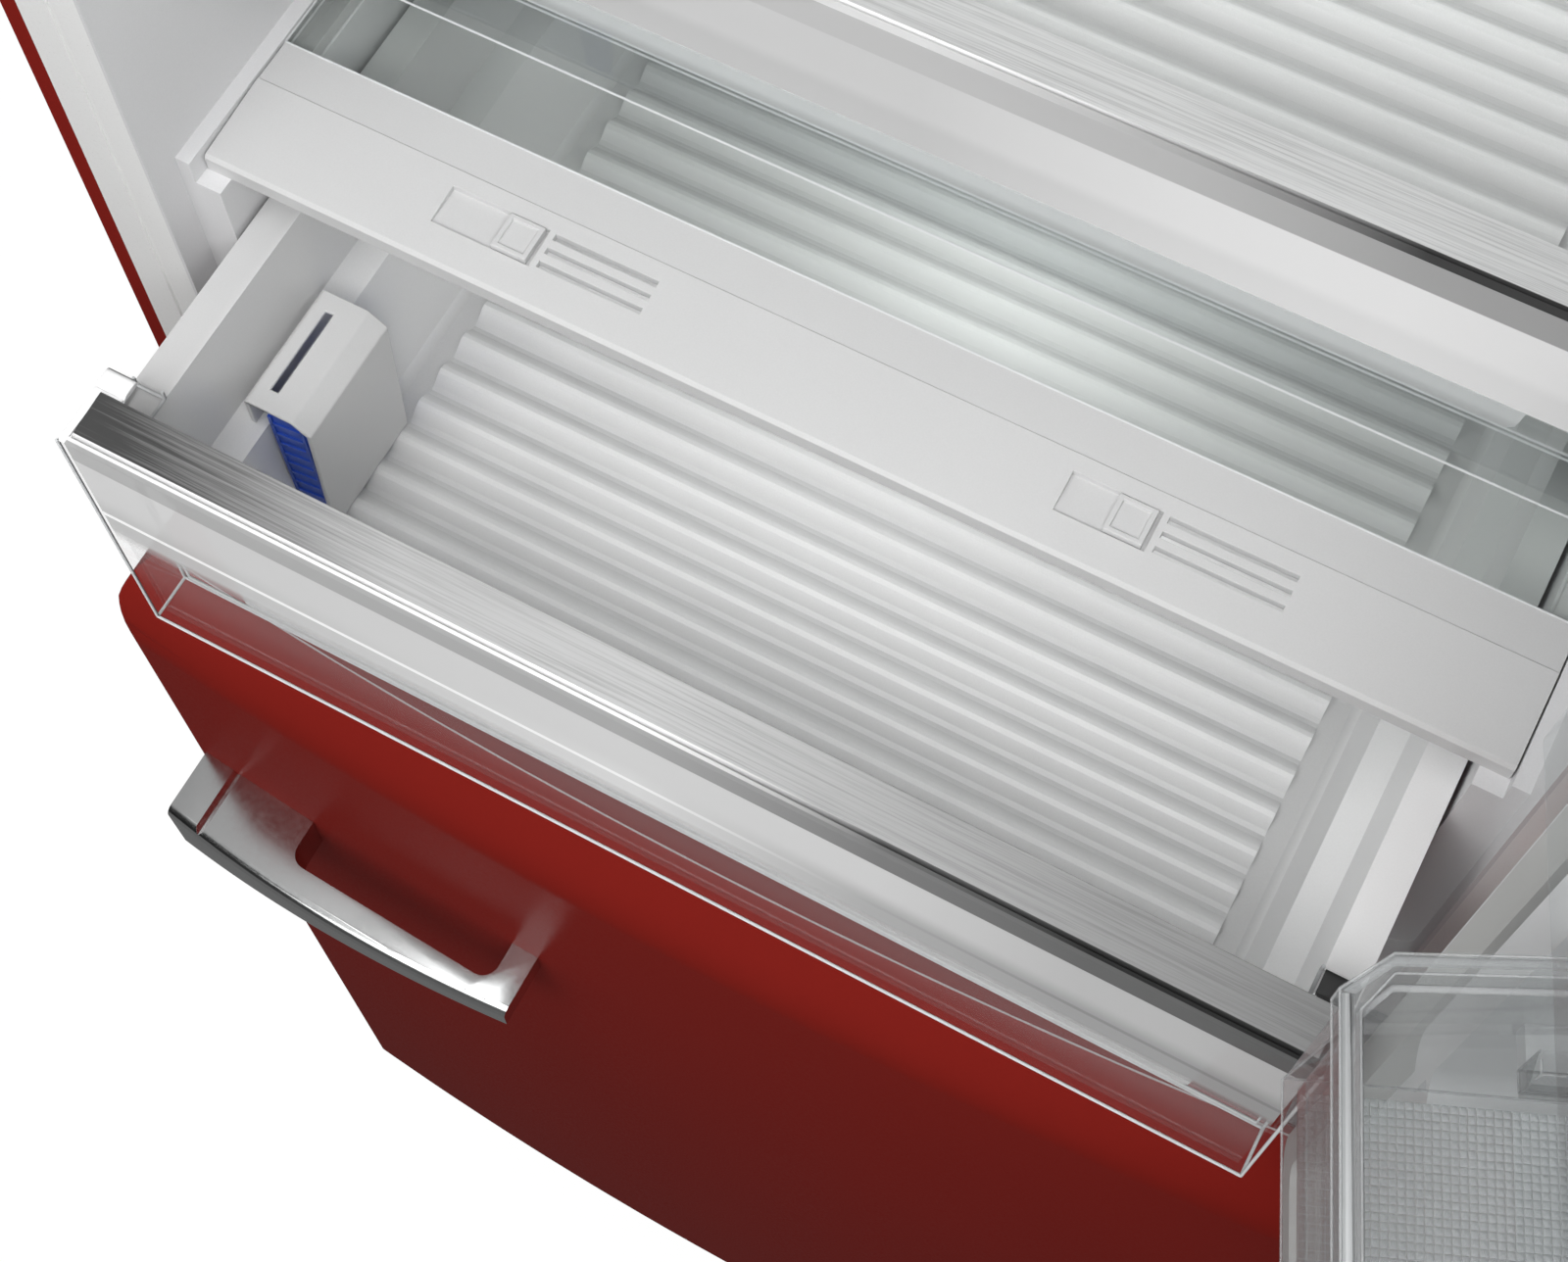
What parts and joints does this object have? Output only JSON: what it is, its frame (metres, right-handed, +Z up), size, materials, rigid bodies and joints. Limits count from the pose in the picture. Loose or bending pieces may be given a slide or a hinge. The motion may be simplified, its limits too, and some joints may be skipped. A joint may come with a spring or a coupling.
{
  "type": "fridge freezer",
  "caption": "Free-standing retro fridge freezer with a bowed red freezer door, an open fridge door, a ribbed crisper drawer drawn out, and bar handles.",
  "frame": {"origin": "middle of the base plate's underside", "axes": "+Z up; -Y towards the doors; +X towards the hinge side, seen from the front on the right"},
  "size_m": [0.8877, 1.1893, 1.968],
  "materials": {
    "red_paint": "high gloss red enamel",
    "top_cover_plastic": "gloss red plastic",
    "frame_white": "satin white plastic",
    "liner_white": "satin white polystyrene",
    "foam": "rigid polyurethane foam",
    "zinc_steel": "galvanised steel",
    "hinge_steel": "zinc-plated steel",
    "foot_plastic": "black nylon",
    "roller_plastic": "black nylon",
    "compressor_black": "black enamel",
    "mount_rubber": "black rubber",
    "light_plastic": "moulded plastic",
    "copper": "copper tube",
    "aluminium": "plain sheet and tube",
    "dark_plastic": "dark moulded plastic",
    "lamp_cover": "frosted cover",
    "cover_white": "satin light grey plastic",
    "glass": "clear tempered glass",
    "trim_grey": "satin grey plastic",
    "tub_white": "satin white plastic",
    "clear_plastic": "clear polystyrene",
    "brushed_trim": "brushed along its length",
    "bright_trim": "polished",
    "cartridge_blue": "blue plastic",
    "gasket_grey": "soft extruded seal",
    "handle_chrome": "polished"
  },
  "bodies": {
    "cabinet": {"cabinet_shell": "red_paint", "foam_core": "foam", "front_frame": "frame_white", "fridge_liner": "liner_white", "freezer_liner": "liner_white", "back_panel": "zinc_steel", "base_plate": "zinc_steel", "top_hinge": "hinge_steel", "middle_hinge": "hinge_steel", "bottom_hinge": "hinge_steel", "hinge_cover": "top_cover_plastic", "front_feet": "foot_plastic", "roller_brackets": "zinc_steel", "compressor": "compressor_black", "compressor_mounts": "mount_rubber", "terminal_box": "light_plastic", "refrigerant_pipes": "copper", "drip_tray": "light_plastic", "cord_clamp": "dark_plastic", "evaporator": "aluminium", "evaporator_cover": "light_plastic", "fan_motor": "dark_plastic", "duct_panel": "light_plastic", "ceiling_lamp": "lamp_cover", "control_panel": "light_plastic", "crisper_cover": "cover_white", "crisper_glass": "glass", "shelf_glasses": "glass", "shelf_trims": "trim_grey", "freezer_shelves": "glass"},
    "fridge_door": {"fridge_door_skin": "red_paint", "fridge_door_foam": "foam", "fridge_door_liner": "liner_white", "fridge_gasket": "gasket_grey", "fridge_handle": "handle_chrome", "dairy_box": "light_plastic"},
    "freezer_door": {"freezer_door_skin": "red_paint", "freezer_door_panel": "liner_white", "freezer_gasket": "gasket_grey", "freezer_handle": "handle_chrome"},
    "crisper": {"crisper_tub": "tub_white", "crisper_front": "clear_plastic", "crisper_trim": "brushed_trim", "cartridge_holder": "cover_white", "freshness_cartridge": "cartridge_blue"},
    "chill_drawer": {"chill_tub": "tub_white", "chill_front": "clear_plastic", "chill_trim": "bright_trim"},
    "top_freezer_drawer": {"freezer_drawer_top": "clear_plastic"},
    "middle_freezer_drawer": {"freezer_drawer_middle": "clear_plastic"},
    "bottom_freezer_drawer": {"freezer_drawer_bottom": "clear_plastic"},
    "left_slider": {"humidity_slider_left": "cover_white"},
    "right_slider": {"humidity_slider_right": "cover_white"},
    "bottle_bin": {"bottle_bin": "clear_plastic"},
    "middle_bin": {"middle_bin": "clear_plastic"},
    "dairy_lid": {"dairy_lid": "clear_plastic"},
    "knob": {"temperature_knob": "trim_grey"},
    "fan": {"fan_rotor": "dark_plastic"},
    "left_roller": {"roller_left": "roller_plastic"},
    "right_roller": {"roller_right": "roller_plastic"}
  },
  "joints": [
    {"name": "fridge_door_swing", "type": "hinge", "parent": "cabinet", "child": "fridge_door", "pos_m": [0.29, -0.339, 1.38], "axis": [0, 0, 1], "range_deg": [-113, 12]},
    {"name": "freezer_door_swing", "type": "hinge", "parent": "cabinet", "child": "freezer_door", "pos_m": [0.29, -0.339, 0.43], "axis": [0, 0, 1], "range_deg": [0, 120]},
    {"name": "crisper_slide", "type": "slide", "parent": "cabinet", "child": "crisper", "axis": [0, -1, 0], "range_m": [-0.1192, 0.0128]},
    {"name": "chill_slide", "type": "slide", "parent": "cabinet", "child": "chill_drawer", "axis": [0, -1, 0], "range_m": [0, 0.19]},
    {"name": "top_freezer_drawer_slide", "type": "slide", "parent": "cabinet", "child": "top_freezer_drawer", "axis": [0, -1, 0], "range_m": [0, 0.095]},
    {"name": "middle_freezer_drawer_slide", "type": "slide", "parent": "cabinet", "child": "middle_freezer_drawer", "axis": [0, -1, 0], "range_m": [0, 0.095]},
    {"name": "bottom_freezer_drawer_slide", "type": "slide", "parent": "cabinet", "child": "bottom_freezer_drawer", "axis": [0, -1, 0], "range_m": [0, 0.095]},
    {"name": "left_humidity_slide", "type": "slide", "parent": "cabinet", "child": "left_slider", "axis": [1, 0, 0], "range_m": [-0.0245, 0.0012]},
    {"name": "right_humidity_slide", "type": "slide", "parent": "cabinet", "child": "right_slider", "axis": [1, 0, 0], "range_m": [-0.0175, 0.0012]},
    {"name": "bottle_bin_lift", "type": "slide", "parent": "fridge_door", "child": "bottle_bin", "axis": [0, 0, 1], "range_m": [0, 0.03]},
    {"name": "middle_bin_lift", "type": "slide", "parent": "fridge_door", "child": "middle_bin", "axis": [0, 0, 1], "range_m": [0, 0.03]},
    {"name": "dairy_lid_hinge", "type": "hinge", "parent": "fridge_door", "child": "dairy_lid", "pos_m": [0.39411, -0.60985, 1.747], "axis": [-0.3907, 0.9205, 0], "range_deg": [0, 70]},
    {"name": "temperature_knob_turn", "type": "hinge", "parent": "cabinet", "child": "knob", "pos_m": [0.055, -0.235, 1.861], "axis": [0, -1, 0], "range_deg": [0, 270]},
    {"name": "fan_spin", "type": "hinge", "parent": "cabinet", "child": "fan", "pos_m": [0, 0.145, 0.69], "axis": [0, -1, 0], "continuous": true},
    {"name": "left_roller_turn", "type": "hinge", "parent": "cabinet", "child": "left_roller", "pos_m": [-0.2505, 0.235, -0.008], "axis": [1, 0, 0], "continuous": true},
    {"name": "right_roller_turn", "type": "hinge", "parent": "cabinet", "child": "right_roller", "pos_m": [0.2505, 0.235, -0.008], "axis": [1, 0, 0], "continuous": true}
  ],
  "couplings": [
    {"joint": "crisper_slide", "follows": "fridge_door_swing", "m_per_rad": 0.06034},
    {"joint": "top_freezer_drawer_slide", "follows": "freezer_door_swing", "m_per_rad": 0.045},
    {"joint": "middle_freezer_drawer_slide", "follows": "freezer_door_swing", "m_per_rad": 0.045},
    {"joint": "bottom_freezer_drawer_slide", "follows": "freezer_door_swing", "m_per_rad": 0.045}
  ]
}
